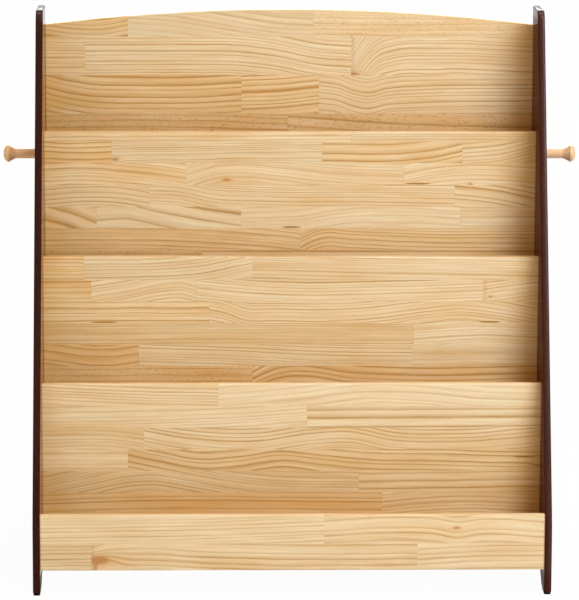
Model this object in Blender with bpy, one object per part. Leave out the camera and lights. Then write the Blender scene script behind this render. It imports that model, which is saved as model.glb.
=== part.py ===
"""Front-display bookcase for a child's room.

Two dark side panels with a raked front edge carry five upright pine boards, stepped back as they rise.
Narrow shelves between the boards close four book pockets, and a turned peg stands out from each panel.
Metres, +Z up, front towards -Y, origin on the floor under the middle of the bookcase.
"""

import math

import bmesh
import bpy
from mathutils import Matrix, Vector

# Overall sizes
WIDTH = 0.700  # over the outer faces of the side panels
DEPTH = 0.300
HEIGHT = 0.770  # floor to the top of the side panels
CLEARANCE = 0.0003  # gap kept between pieces that meet

# Side panels
PANEL_THICKNESS = 0.010
PANEL_RIM_ROUND = 0.0025  # eased rim on both faces
PANEL_CORNER_ROUND = 0.004  # feet and top rear corner, seen from the side
CROWN_ROUND = 0.016  # top front corner, seen from the side
TOE_HEIGHT = 0.095  # where the upright toe would meet the raked edge
RAKE = math.radians(18.4)  # front edge, from the vertical
BEND_ROUND = 0.150  # softens the bend between toe and rake
FOOT_LENGTH = 0.042
ARCH_RISE = 0.038

# Upright boards
BOARD_THICKNESS = 0.012
BOARD_EDGE_ROUND = 0.0015
LIP_RECESS = 0.002  # front of the lip behind the panels' toes
LIP_BOTTOM = 0.035
LIP_TOP = 0.111
TIER_RISE = 0.1637  # from the top of one board to the top of the next
BACK_DROP = 0.005  # crown of the arched back board below the panels' tops
BACK_ARCH_RISE = 0.021
BACK_RECESS = 0.0015  # back of the rear board inside the panels' rear edges

# Pockets
BOTTOM_POCKET = 0.070  # clear depth behind the lip
POCKET_DROP = 0.060  # from a board's top edge down to the shelf behind it
SHELF_THICKNESS = 0.012
SHELF_EDGE_ROUND = 0.0008

# Pegs
PEG_BEHIND = 0.017  # axis behind the rear face of the upper tier board
PEG_HEIGHT = 0.5685
PEG_LENGTH = 0.047  # stands out from the panel
PEG_SEAT_RADIUS = 0.0072
PEG_WAIST_RADIUS = 0.0068
PEG_NECK_RADIUS = 0.0068
PEG_HEAD_RADIUS = 0.012
PEG_FLARE = 0.010  # length of the flared neck
PEG_RIM = 0.0016  # rounded rim of the head
PEG_EASE = 0.0004  # softens the rim and the end of the tenon
PEG_DOME = 0.0065  # height of the domed end
TENON_RADIUS = 0.005
TENON_LENGTH = 0.007

# Joint bolts
BOLT_LENGTH = 0.045
BOLT_RADIUS = 0.0025
BOLT_TIP = 0.00125  # length and end radius of the tapered tip
BOLT_HEAD_RADIUS = 0.0042
BOLT_HEAD_RIM = 0.0007  # upright rim above the countersink
BOLT_HEAD_RECESS = 0.0004  # below the face of the panel
BOLT_SOCKET = 0.003  # across the flats
BOLT_SOCKET_DEPTH = 0.0016
BOLT_INSET = 0.030  # from a board's top and bottom edges
LIP_BOLT_INSET = 0.018

# Foot pads
PAD_THICKNESS = 0.002
PAD_WIDTH = 0.009
PAD_LENGTH = 0.034
PAD_CORNER_ROUND = 0.002

# Fineness of round stretches
ARC_SAG = 0.0001  # most that a facet of an arc lies inside the true curve
PEG_SIDES = 24
PEG_STEPS = 6  # along the dome, and along the flare
BOLT_SIDES = 12  # six socket corners and six middles of its flats
RIM_SEGMENTS = 3
EDGE_SEGMENTS = 2
SMOOTH_ANGLE = math.radians(35)
MERGE = 0.00001
CUT_OVERSHOOT = 0.004  # a cutter reaches this far outside the panel

# The upright boards from the front, each with the shelf of the pocket behind it
TIERS = (
    ("front_lip", "bottom_shelf"),
    ("lower_tier_board", "middle_shelf"),
    ("middle_tier_board", "upper_shelf"),
    ("upper_tier_board", "top_shelf"),
)
SIDES = (("left", -1), ("right", 1))

# Worked out from the above
FRONT = -DEPTH / 2
INNER_HALF = WIDTH / 2 - PANEL_THICKNESS
BOARD_HALF = INNER_HALF - CLEARANCE
PANEL_BOTTOM = PAD_THICKNESS + CLEARANCE
BACK_TOP = HEIGHT - BACK_DROP
BOARD_COUNT = len(TIERS) + 1  # the tiers and the back board
UPPER_POCKETS = len(TIERS) - 1
POCKET_ROOM = DEPTH - LIP_RECESS - BACK_RECESS - BOARD_COUNT * BOARD_THICKNESS
POCKET = (POCKET_ROOM - BOTTOM_POCKET) / UPPER_POCKETS  # clear depth of each pocket above the lowest
TOP_POCKET = DEPTH - BACK_RECESS - BOARD_THICKNESS - POCKET  # its front, behind the front of the panels

# Finishes
PINE = {"name": "pine", "colour": (0.61, 0.38, 0.17), "roughness": 0.45, "metallic": 0.0}
STAIN = {"name": "dark_stain", "colour": (0.050, 0.020, 0.014), "roughness": 0.35, "metallic": 0.0}
BEECH = {"name": "beech", "colour": (0.72, 0.40, 0.19), "roughness": 0.45, "metallic": 0.0}
PAD_FELT = {"name": "pad", "colour": (0.006, 0.006, 0.006), "roughness": 0.9, "metallic": 0.0}
BOLT_STEEL = {"name": "bolt_steel", "colour": (0.035, 0.030, 0.028), "roughness": 0.4, "metallic": 1.0}


def finish(name, colour, roughness, metallic):
    """The named material, made the first time it is asked for."""
    material = bpy.data.materials.get(name) or bpy.data.materials.new(name)
    material.use_nodes = True
    shader = material.node_tree.nodes["Principled BSDF"]
    shader.inputs["Base Color"].default_value = (*colour, 1.0)
    shader.inputs["Roughness"].default_value = roughness
    shader.inputs["Metallic"].default_value = metallic
    return material


def mesh_from(bm, name):
    """A mesh from a finished bmesh, facing out and shaded smooth except at its edges."""
    bmesh.ops.recalc_face_normals(bm, faces=bm.faces)
    mesh = bpy.data.meshes.new(name)
    bm.to_mesh(mesh)
    bm.free()
    mesh.shade_smooth()
    mesh.set_sharp_from_angle(angle=SMOOTH_ANGLE)
    return mesh


def place(name, mesh, look, location=(0, 0, 0), turn=0.0):
    """A piece of the bookcase, turned about the vertical and set under the bookcase's own empty."""
    piece = bpy.data.objects.new(name, mesh)
    piece.location = location
    piece.rotation_euler.z = turn
    piece.parent = bookcase
    if not mesh.materials:
        mesh.materials.append(finish(**look))
    bpy.context.scene.collection.objects.link(piece)
    return piece


def make_cutter(name, bores):
    """A hidden object that holds the bores of one side, from (mesh, location, turn) of each."""
    bm = bmesh.new()
    for mesh, location, turn in bores:
        known = len(bm.verts)
        bm.from_mesh(mesh)
        bm.verts.ensure_lookup_table()
        spot = Matrix.Translation(location) @ Matrix.Rotation(turn, 4, "Z")
        bmesh.ops.transform(bm, matrix=spot, verts=bm.verts[known:])
    cutter = bpy.data.objects.new(name, mesh_from(bm, name))
    cutter.parent = bookcase
    cutter.hide_render = True
    cutter.display_type = "WIRE"
    bpy.context.scene.collection.objects.link(cutter)
    return cutter


def bore(piece, cutter):
    """Cuts the cutter's shape out of the piece."""
    cut = piece.modifiers.new(cutter.name, "BOOLEAN")
    cut.operation = "DIFFERENCE"
    cut.solver = "EXACT"
    cut.object = cutter


def ease(piece, width, segments):
    """Rounds the edges that carry a bevel weight."""
    bevel = piece.modifiers.new("eased_edges", "BEVEL")
    bevel.limit_method = "WEIGHT"
    bevel.width = width
    bevel.segments = segments


def arc(centre, radius, start, end):
    """Points along a circular arc, both ends included."""
    facet = 2 * math.acos(1 - ARC_SAG / radius)
    count = math.ceil(abs(end - start) / facet)
    angles = [start + (end - start) * step / count for step in range(count + 1)]
    return [(centre[0] + radius * math.cos(a), centre[1] + radius * math.sin(a)) for a in angles]


def rounded(corners):
    """An outline through corners (u, v, radius), with an arc tangent to both sides at each radius."""
    outline = []
    for index, (u, v, radius) in enumerate(corners):
        corner = Vector((u, v))
        if not radius:
            outline.append((u, v))
            continue
        before = (Vector(corners[index - 1][:2]) - corner).normalized()
        after = (Vector(corners[(index + 1) % len(corners)][:2]) - corner).normalized()
        half = before.angle(after) / 2
        centre = corner + (before + after).normalized() * radius / math.sin(half)
        first = corner + before * radius / math.tan(half) - centre
        last = corner + after * radius / math.tan(half) - centre
        start = math.atan2(first.y, first.x)
        sweep = math.remainder(math.atan2(last.y, last.x) - start, math.tau)
        outline += arc(centre, radius, start, start + sweep)
    return outline


def bow(half_span, rise):
    """Radius of the circular arc that rises this much over this half span."""
    return (half_span**2 + rise**2) / (2 * rise)


def extruded(name, outline, axis, start, end, is_eased):
    """An outline carried along X or Y; is_eased says from its X run whether an edge gets rounded."""
    bm = bmesh.new()
    if axis == "X":
        points = [(start, u, v) for u, v in outline]
        travel = (end - start, 0, 0)
    else:
        points = [(u, start, v) for u, v in outline]
        travel = (0, end - start, 0)
    face = bm.faces.new([bm.verts.new(point) for point in points])
    swept = bmesh.ops.extrude_face_region(bm, geom=[face], use_keep_orig=True)["geom"]
    moved = [item for item in swept if isinstance(item, bmesh.types.BMVert)]
    bmesh.ops.translate(bm, vec=travel, verts=moved)
    weight = bm.edges.layers.float.new("bevel_weight_edge")
    for edge in bm.edges:
        run = abs(edge.verts[0].co.x - edge.verts[1].co.x)
        edge[weight] = 1.0 if is_eased(run) else 0.0
    return mesh_from(bm, name)


def turned(profile, sides):
    """A profile of (along, radius) pairs spun about the X axis, with its open ends capped."""
    bm = bmesh.new()
    points = [bm.verts.new((along, 0, radius)) for along, radius in profile]
    edges = [bm.edges.new(pair) for pair in zip(points, points[1:])]
    bmesh.ops.spin(
        bm, geom=points + edges, axis=(1, 0, 0), cent=(0, 0, 0), angle=math.tau, steps=sides
    )
    bmesh.ops.remove_doubles(bm, verts=bm.verts, dist=MERGE)
    open_edges = [edge for edge in bm.edges if edge.is_boundary]
    if open_edges:
        bmesh.ops.edgeloop_fill(bm, edges=open_edges)
    return bm


def runs_along(run):
    """True of an edge that runs along the length of a board."""
    return run > MERGE


def stays_on_face(run):
    """True of an edge on the rim of a panel's face."""
    return run < MERGE


def panel_outline():
    """Side panel as (y, z): from the front foot under the arch to the back, up, and down the raked edge."""
    back = FRONT + DEPTH
    arch_half = DEPTH / 2 - FOOT_LENGTH
    radius = bow(arch_half, ARCH_RISE)
    reach = math.asin(arch_half / radius)
    up = math.pi / 2
    arch = arc((0, PANEL_BOTTOM + ARCH_RISE - radius), radius, up + reach, up - reach)
    crown = FRONT + (HEIGHT - TOE_HEIGHT) * math.tan(RAKE)
    return rounded(
        [(FRONT, PANEL_BOTTOM, PANEL_CORNER_ROUND)]
        + [(y, z, 0) for y, z in arch]
        + [
            (back, PANEL_BOTTOM, PANEL_CORNER_ROUND),
            (back, HEIGHT, PANEL_CORNER_ROUND),
            (crown, HEIGHT, CROWN_ROUND),
            (FRONT, TOE_HEIGHT, BEND_ROUND),
        ]
    )


def make_panel(side, sign):
    """One side panel; sign is -1 on the left and 1 on the right."""
    name = f"{side}_side_panel"
    outer = sign * WIDTH / 2
    inner = sign * INNER_HALF
    mesh = extruded(name, panel_outline(), "X", outer, inner, stays_on_face)
    panel = place(name, mesh, STAIN)
    ease(panel, PANEL_RIM_ROUND, RIM_SEGMENTS)
    return panel


def make_board(name, front, bottom, top, thickness, edge_round):
    """A straight board between the panels, its front face this far behind the front of the panels."""
    near = FRONT + front
    corners = [(near, bottom), (near + thickness, bottom), (near + thickness, top), (near, top)]
    mesh = extruded(name, corners, "X", -BOARD_HALF, BOARD_HALF, runs_along)
    board = place(name, mesh, PINE)
    ease(board, edge_round, EDGE_SEGMENTS)
    return board


def make_back_board(front, bottom):
    """The rear board, whose top edge is one long shallow arc."""
    radius = bow(BOARD_HALF, BACK_ARCH_RISE)
    reach = math.asin(BOARD_HALF / radius)
    up = math.pi / 2
    outline = arc((0, BACK_TOP - radius), radius, up - reach, up + reach)
    outline += [(-BOARD_HALF, bottom), (BOARD_HALF, bottom)]
    near = FRONT + front
    mesh = extruded("back_board", outline, "Y", near, near + BOARD_THICKNESS, runs_along)
    board = place("back_board", mesh, PINE)
    ease(board, BOARD_EDGE_ROUND, EDGE_SEGMENTS)
    return board


def peg_profile():
    """Half the peg from its domed tip to the end of its tenon; it stands out towards -X."""
    def at(distance, radius):
        return (-distance, radius)

    head = PEG_LENGTH - PEG_DOME
    rim = head - PEG_RIM
    neck = rim - PEG_FLARE
    brim = PEG_HEAD_RADIUS - PEG_EASE
    spread = brim - PEG_NECK_RADIUS
    turns = [math.pi / 2 * step / PEG_STEPS for step in range(PEG_STEPS + 1)]
    dome = [at(head + PEG_DOME * math.cos(t), brim * math.sin(t)) for t in turns]
    lip = [at(head - PEG_EASE, PEG_HEAD_RADIUS), at(rim + PEG_EASE, PEG_HEAD_RADIUS)]
    flare = [at(rim - PEG_FLARE * (1 - math.cos(t)), PEG_NECK_RADIUS + spread * (1 - math.sin(t)))
             for t in turns]
    shank = [at(neck / 2, PEG_WAIST_RADIUS), at(0, PEG_SEAT_RADIUS)]
    tenon = [(0, TENON_RADIUS), (TENON_LENGTH - PEG_EASE, TENON_RADIUS)]
    tenon_end = [(TENON_LENGTH, TENON_RADIUS - PEG_EASE)]
    return dome + lip + flare + shank + tenon + tenon_end


def make_pegs():
    """A turned peg on each side, its tenon in a blind bore."""
    mesh = mesh_from(turned(peg_profile(), PEG_SIDES), "peg")
    reach = TENON_RADIUS + CLEARANCE
    profile = [(-CUT_OVERSHOOT, reach), (TENON_LENGTH + 2 * CLEARANCE, reach)]
    socket = mesh_from(turned(profile, PEG_SIDES), "peg_socket")
    for side, sign in SIDES:
        turn = math.pi if sign > 0 else 0.0
        spot = (sign * (WIDTH / 2 + CLEARANCE), FRONT + TOP_POCKET + PEG_BEHIND, PEG_HEIGHT)
        place(f"{side}_peg", mesh, BEECH, spot, turn)
        bores[side].append((socket, spot, turn))


def bolt_profile(spare):
    """Half a countersunk bolt from the rim of its head to its tip, grown by spare all round."""
    head = BOLT_HEAD_RADIUS + spare
    shank = BOLT_RADIUS + spare
    sink = BOLT_HEAD_RIM + BOLT_HEAD_RADIUS - BOLT_RADIUS
    taper = BOLT_LENGTH - BOLT_TIP
    return [(0, head), (BOLT_HEAD_RIM, head), (sink, shank), (taper, shank), (BOLT_LENGTH, BOLT_TIP)]


def bolt_mesh():
    """The bolt with a hexagon socket sunk into its head."""
    bm = turned(bolt_profile(0), BOLT_SIDES)
    bm.faces.ensure_lookup_table()
    top = min(bm.faces, key=lambda face: face.calc_center_median().x)
    corner = BOLT_SOCKET / math.sqrt(3)
    bmesh.ops.inset_individual(bm, faces=[top], thickness=BOLT_HEAD_RADIUS - corner)
    for index, vert in enumerate(top.verts):
        middle_of_flat = index % 2
        across = BOLT_SOCKET / 2 if middle_of_flat else corner
        vert.co.yz = vert.co.yz.normalized() * across
    floor = bmesh.ops.extrude_discrete_faces(bm, faces=[top])["faces"][0]
    bmesh.ops.translate(bm, vec=(BOLT_SOCKET_DEPTH, 0, 0), verts=floor.verts)
    return mesh_from(bm, "bolt")


def bolt_bore_mesh():
    """The bolt's clearance bore, which runs out through the face of the panel."""
    profile = bolt_profile(CLEARANCE)
    profile[0] = (-CUT_OVERSHOOT, profile[0][1])
    profile[-1] = (BOLT_LENGTH + CLEARANCE, profile[-1][1])
    return mesh_from(turned(profile, BOLT_SIDES), "bolt_bore")


def fasten(piece, heights, setback):
    """Bolts both ends of a board or shelf to the panels, at these heights and this far from the front."""
    bolted.append(piece)
    for side, sign in SIDES:
        turn = math.pi if sign > 0 else 0.0
        for index, height in enumerate(heights):
            name = f"{side}_{piece.name}_bolt_{index + 1}"
            spot = (sign * (WIDTH / 2 - BOLT_HEAD_RECESS), FRONT + setback, height)
            place(name, bolt, BOLT_STEEL, spot, turn)
            bores[side].append((bolt_bore, spot, turn))


def make_pads():
    """A thin pad under each foot."""
    reach_x = PAD_WIDTH / 2
    reach_y = PAD_LENGTH / 2
    for side, sign in SIDES:
        middle_x = sign * (WIDTH / 2 - PANEL_THICKNESS / 2)
        for end, middle_y in (("front", FRONT + FOOT_LENGTH / 2), ("rear", -FRONT - FOOT_LENGTH / 2)):
            corners = [(middle_x + x * reach_x, middle_y + y * reach_y, PAD_CORNER_ROUND)
                       for x, y in ((-1, -1), (1, -1), (1, 1), (-1, 1))]
            bm = bmesh.new()
            sole = bm.faces.new([bm.verts.new((x, y, 0)) for x, y in rounded(corners)])
            top = bmesh.ops.extrude_face_region(bm, geom=[sole], use_keep_orig=True)["geom"]
            moved = [item for item in top if isinstance(item, bmesh.types.BMVert)]
            bmesh.ops.translate(bm, vec=(0, 0, PAD_THICKNESS), verts=moved)
            name = f"{side}_{end}_foot_pad"
            place(name, mesh_from(bm, name), PAD_FELT)


def make_boards_and_shelves():
    """The boards from front to back, each with the shelf of the pocket behind it."""
    front = LIP_RECESS
    bottom = LIP_BOTTOM
    top = LIP_TOP
    shelf_bottom = LIP_BOTTOM
    for tier, (board_name, shelf_name) in enumerate(TIERS):
        pocket = POCKET if tier else BOTTOM_POCKET
        inset = BOLT_INSET if tier else LIP_BOLT_INSET
        board = make_board(board_name, front, bottom, top, BOARD_THICKNESS, BOARD_EDGE_ROUND)
        fasten(board, (bottom + inset, top - inset), front + BOARD_THICKNESS / 2)
        shelf_front = front + BOARD_THICKNESS + CLEARANCE
        shelf_depth = pocket - 2 * CLEARANCE
        shelf_top = shelf_bottom + SHELF_THICKNESS
        shelf = make_board(shelf_name, shelf_front, shelf_bottom, shelf_top, shelf_depth, SHELF_EDGE_ROUND)
        fasten(shelf, (shelf_bottom + SHELF_THICKNESS / 2,), shelf_front + shelf_depth / 2)
        front += BOARD_THICKNESS + pocket
        bottom = shelf_bottom
        top += TIER_RISE
        shelf_bottom = top - POCKET_DROP - SHELF_THICKNESS
    back = make_back_board(front, bottom)
    shoulder = BACK_TOP - BACK_ARCH_RISE
    fasten(back, (bottom + BOLT_INSET, shoulder - BOLT_INSET), front + BOARD_THICKNESS / 2)


for leftover in list(bpy.data.objects):
    bpy.data.objects.remove(leftover, do_unlink=True)

bookcase = bpy.data.objects.new("bookcase", None)
bpy.context.scene.collection.objects.link(bookcase)

bolt = bolt_mesh()
bolt_bore = bolt_bore_mesh()
bolted = []
bores = {side: [] for side, _ in SIDES}
panels = {side: make_panel(side, sign) for side, sign in SIDES}
make_boards_and_shelves()
make_pegs()
make_pads()
for side, _ in SIDES:
    side_bores = make_cutter(f"{side}_bores", bores[side])
    for piece in (panels[side], *bolted):
        bore(piece, side_bores)
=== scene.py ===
# %% [markdown]
# # Dressing a child's bookcase
# The frame is a bookcase for a child's room: two dark stained side panels, five upright pine boards that
# step back as they rise, narrow shelves between them, a turned peg on each side, joint bolts and foot pads.
# This lesson keeps every size of that frame and gives each piece its finished surface. Each piece is worked
# out as whole arrays of points, so that one formula stands for a whole surface.

# %% Load the frame
import math
from dataclasses import dataclass

import bmesh
import bpy
import numpy as np
from mathutils import Matrix, Vector
from mathutils.geometry import tessellate_polygon


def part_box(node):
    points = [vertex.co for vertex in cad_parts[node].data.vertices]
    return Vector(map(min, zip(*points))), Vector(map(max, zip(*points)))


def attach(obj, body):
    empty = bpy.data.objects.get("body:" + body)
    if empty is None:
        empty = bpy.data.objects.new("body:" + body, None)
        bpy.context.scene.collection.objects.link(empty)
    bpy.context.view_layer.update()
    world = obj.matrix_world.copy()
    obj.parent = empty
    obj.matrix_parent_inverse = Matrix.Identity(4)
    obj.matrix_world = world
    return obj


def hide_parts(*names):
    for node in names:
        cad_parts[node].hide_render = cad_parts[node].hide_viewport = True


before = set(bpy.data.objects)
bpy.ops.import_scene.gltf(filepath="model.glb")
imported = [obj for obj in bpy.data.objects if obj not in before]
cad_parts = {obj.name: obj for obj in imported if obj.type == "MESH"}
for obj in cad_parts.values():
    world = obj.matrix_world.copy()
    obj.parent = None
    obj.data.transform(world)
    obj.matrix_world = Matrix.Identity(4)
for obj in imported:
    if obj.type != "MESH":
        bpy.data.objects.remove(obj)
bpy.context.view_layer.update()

# %% [markdown]
# ## The camera
# The bookcase is seen from a little above and a little left of its middle, through a long lens, so its
# upright edges stay almost parallel. The camera could be aimed by eye, but the corners of the boards fix
# it: their known sizes leave one place, tilt and focal length that put every corner where it is seen.

# %% Place the camera
PICTURE_HEIGHT = 600  # pixels
FOCAL_PIXELS = 3653
SENSOR = 36.0  # millimetres along the longer side of the picture
FAR_CLIP = 200.0  # metres
CAMERA_PLACE = (-0.1065, -4.9350, 1.2514)
CAMERA_TILT = math.radians(10.023)  # down
CAMERA_YAW = math.radians(1.213)  # to the right
CAMERA_ROLL = math.radians(0.16)

camera_data = bpy.data.cameras.new("camera")
camera_data.sensor_width = SENSOR
camera_data.lens = FOCAL_PIXELS / PICTURE_HEIGHT * SENSOR
camera_data.clip_end = FAR_CLIP
camera = bpy.data.objects.new("camera", camera_data)
camera.matrix_world = (
    Matrix.Translation(CAMERA_PLACE)
    @ Matrix.Rotation(-CAMERA_YAW, 4, "Z")
    @ Matrix.Rotation(math.pi / 2 - CAMERA_TILT, 4, "X")
    @ Matrix.Rotation(CAMERA_ROLL, 4, "Z")
)
bpy.context.scene.collection.objects.link(camera)
bpy.context.scene.camera = camera
bpy.context.scene.view_settings.view_transform = "Standard"
print("lens:", round(camera_data.lens, 1), "mm")

# %% [markdown]
# ## Shader sums written as Python
# A wood grain is a long sum of noises, rings and masks. Drawn by hand that is a web of small nodes. Here
# one class wraps a socket, so that `1 - mask` or `radius / spacing` adds the Math node by itself, and one
# method adds every other kind of node.


# %% A socket that can be used in sums
class Shade:
    """One output socket of a node tree, usable in sums; add() makes any other node."""

    def __init__(self, tree, socket=None):
        self.tree = tree
        self.socket = socket

    def add(self, kind, settings=(), sockets=(), out=0):
        """Adds a node: its settings first, then the numbers or links of its sockets."""
        node = self.tree.nodes.new("ShaderNode" + kind)
        for key, value in dict(settings).items():
            if key == "stops":
                set_stops(node.color_ramp, value)
            else:
                setattr(node, key, value)
        for key, value in dict(sockets).items():
            if isinstance(value, Shade):
                self.tree.links.new(value.socket, node.inputs[key])
            else:
                node.inputs[key].default_value = value
        return Shade(self.tree, node.outputs[out])

    def math(self, operation, *values):
        """One Math node on values or numbers."""
        return self.add("Math", {"operation": operation}, enumerate(values))

    def __add__(self, other):
        return self.math("ADD", self, other)

    def __sub__(self, other):
        return self.math("SUBTRACT", self, other)

    def __rsub__(self, other):
        return self.math("SUBTRACT", other, self)

    def __mul__(self, other):
        return self.math("MULTIPLY", self, other)

    def __truediv__(self, other):
        return self.math("DIVIDE", self, other)

    def __neg__(self):
        return self.math("MULTIPLY", self, -1.0)

    __radd__ = __add__
    __rmul__ = __mul__

    def kept(self, low, high):
        """The value, held between two limits."""
        return self.math("MINIMUM", self.math("MAXIMUM", self, low), high)

    def step(self, start, end):
        """Rises smoothly from 0 at start to 1 at end."""
        settings = {"interpolation_type": "SMOOTHSTEP"}
        return self.add("MapRange", settings, {0: self, 1: start, 2: end, 3: 0.0, 4: 1.0})

    def ramp(self, *stops):
        """A value read from stops of (place, value)."""
        return self.add("ValToRGB", {"stops": stops}, {0: self})

    def parts(self):
        """The three numbers of a vector."""
        node = self.tree.nodes.new("ShaderNodeSeparateXYZ")
        self.tree.links.new(self.socket, node.inputs[0])
        return [Shade(self.tree, output) for output in node.outputs]

    def blend(self, one, other, factor):
        """A colour between two others."""
        return self.add("Mix", {"data_type": "RGBA"}, {0: factor, 6: one, 7: other}, out=2)

    def scaled(self, factor):
        """A colour or vector made stronger or weaker by one number."""
        return self.add("VectorMath", {"operation": "SCALE"}, {0: self, 3: factor})

    def attribute(self, name):
        """A vector that the mesh carries under this name."""
        return self.add("Attribute", {"attribute_name": name}, out="Vector")

    def noise(self, place, stretch, detail=2.0, roughness=0.5):
        """Noise from 0 to 1 at a place, with a pattern this many times finer along each axis."""
        finer = self.add("VectorMath", {"operation": "MULTIPLY"}, {0: place, 1: stretch})
        sockets = {"Vector": finer, "Scale": 1.0, "Detail": detail, "Roughness": roughness}
        return self.add("TexNoise", {}, sockets)

    def relief(self, height, strength, depth):
        """Fine relief from a height, of which 1 stands for this depth in metres."""
        return self.add("Bump", {}, {"Strength": strength, "Distance": depth, "Height": height})


print("a socket can do:", ", ".join(name for name in vars(Shade) if not name.startswith("_")))


# %% Ramps, finishes and places
def set_stops(ramp, stops):
    """Gives a colour ramp these grey stops of (place, value)."""
    while len(ramp.elements) < len(stops):
        ramp.elements.new(1.0)
    for element, (place, value) in zip(ramp.elements, stops):
        element.position = place
        element.color = (value, value, value, 1.0)


def new_finish(name):
    """An empty material with its shader: the material, a Shade to build on, and the shader node."""
    material = bpy.data.materials.new(name)
    material.use_nodes = True
    tree = material.node_tree
    return material, Shade(tree), tree.nodes["Principled BSDF"]


def feed(shader, **values):
    """Links or sets the shader's sockets; an underscore stands for a space."""
    for key, value in values.items():
        socket = shader.inputs[key.replace("_", " ")]
        if isinstance(value, Shade):
            value.tree.links.new(value.socket, socket)
        else:
            socket.default_value = value


MILLIMETRES = 1000.0  # in a metre


def object_place(base):
    """Where a point of the object lies, in millimetres."""
    return base.add("TexCoord", out="Object").scaled(MILLIMETRES)


print("places are read in", 1 / MILLIMETRES, "of a metre")

# %% [markdown]
# ## Edge-glued pine
# The boards are glued up from staves: strips of pine about 30 mm wide, finger-jointed end to end, each from
# another tree. So each stave needs its own rings. A tree's rings are cylinders about its pith. A board
# could carry a drawn pattern, but cutting a block out of those cylinders gives face grain, edge grain and
# end grain from one formula. Every stave therefore tells the shader where its pith lies, how wide its rings
# are, and how far its fibres rise or fall along the way, and the shader measures the distance from that
# pith in millimetres.

# %% Rings of a stave
SWAY = 1.3  # millimetres that the grain wanders
SWAY_GRAIN = (0.012, 0.03, 0.03)  # how fine its noise is along, through and across the stave
RIPPLE = 0.55  # millimetres that a line wavers on its way
RIPPLE_GRAIN = (0.06, 0.10, 0.10)
SEED_STEP = 40.0  # millimetres by which a seed of 1 shifts a stave's noise
FIBRE_SEED_STEP = 10.0
YEAR_SWAY = 5.0  # millimetres by which good and bad years shift the rings
YEAR_GRAIN = 0.06
KNOT_LENGTH = 3.0  # how far a knot bends the lines along and across the stave, in its radius
KNOT_HEIGHT = 1.25
KNOT_PUSH = 1.4  # how far it pushes them aside, in its radius


def pine_rings(base, place, seed):
    """Rings counted from the pith: the distance from it, divided by the width of a ring.

    The distance is the root of the sum of two squares, the offsets across and through. The fibres' rise and
    the sway of the grain shift the offsets, and a knot adds a bell to the distance.
    """
    x, y, z = place.parts()
    pith_y, pith_z, spacing = base.attribute("stave_pith").parts()
    rise, _, _ = base.attribute("stave_flow").parts()
    knot_x, knot_z, knot_radius = base.attribute("stave_knot").parts()
    own_place = base.add("CombineXYZ", {}, {0: x, 1: y + seed * SEED_STEP, 2: z})
    sway = (base.noise(own_place, SWAY_GRAIN) - 0.5) * (2 * SWAY)
    ripple = (base.noise(own_place, RIPPLE_GRAIN, detail=3.0) - 0.5) * (2 * RIPPLE)
    across = z - pith_z - rise - sway - ripple
    through = y - pith_y + sway
    radius = base.math("SQRT", across * across + through * through)
    knot_along = (x - knot_x) / (knot_radius * KNOT_LENGTH)
    knot_across = (z - knot_z) / (knot_radius * KNOT_HEIGHT)
    near_knot = base.math("EXPONENT", -(knot_along * knot_along + knot_across * knot_across))
    radius = radius + near_knot * knot_radius * KNOT_PUSH
    past = {"W": radius * YEAR_GRAIN + seed, "Scale": 1.0, "Detail": 1.0}
    years = base.add("TexNoise", {"noise_dimensions": "1D"}, past)
    rings = (radius + (years - 0.5) * (2 * YEAR_SWAY)) / spacing
    fibre_place = base.add("CombineXYZ", {}, {0: x, 1: radius, 2: seed * FIBRE_SEED_STEP})
    return rings, fibre_place, near_knot


print("the grain wanders by", SWAY, "mm")

# %% [markdown]
# Where two staves meet end to end a thin line of glue shows, and on some joints the zigzag of the fingers.
# Here and there a pitch pocket lies in the wood, a flat lens full of resin. Single lines could be painted
# on, but a distance from the joint or from the pocket's middle gives the same mark at any size.

# %% Joints and pitch pockets
SEAM_EDGE = (0.1, 0.5)  # millimetres from a stave's end over which its glue fades
FINGER_PITCH = 3.8  # millimetres between the fingers of a joint that shows on the face
FINGER_LENGTH = 4.5
FINGER_EDGE = (0.3, 1.3)
PITCH_THICKNESS = 1.3  # millimetres, half the height of a pitch pocket
PITCH_EDGE = (0.45, 1.0)


def pine_joints(base, place):
    """Darkness of the glue at a stave's ends, and of the fingers where a joint shows them.

    The fingers are a zigzag: the joint's place along the stave goes to and fro with the height.
    """
    x, _, z = place.parts()
    left, right, fingers = base.attribute("stave_ends").parts()
    to_end = base.math("MINIMUM", x - left, right - x)
    seam = 1 - to_end.step(*SEAM_EDGE)
    tooth = base.math("PINGPONG", z / FINGER_PITCH, 0.5) * (2 * FINGER_LENGTH)
    edge = base.math("ABSOLUTE", x - left - tooth)
    comb = (1 - edge.step(*FINGER_EDGE)) * fingers
    return seam, comb


def pine_pitch(base, place):
    """Darkness of a pitch pocket: a lens, long along the fibres and thin across them."""
    x, _, z = place.parts()
    middle, height, half = base.attribute("stave_pitch").parts()
    along = (x - middle) / half
    across = (z - height) / PITCH_THICKNESS
    return 1 - (along * along + across * across).step(*PITCH_EDGE)


print("fingers every", FINGER_PITCH, "mm")

# %% [markdown]
# Next to the panels the boards are painted warmer and a little lighter, a painted warm bounce light, most
# of all on the right, where the panel's red-brown is painted on as reflected light. Where the boards meet
# the panels a thin dark line is a painted contact shadow. Lamps alone would need a brighter panel for that,
# so the tint lies in the pine. The lip in front stands in full light and gets no such warmth.

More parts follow.
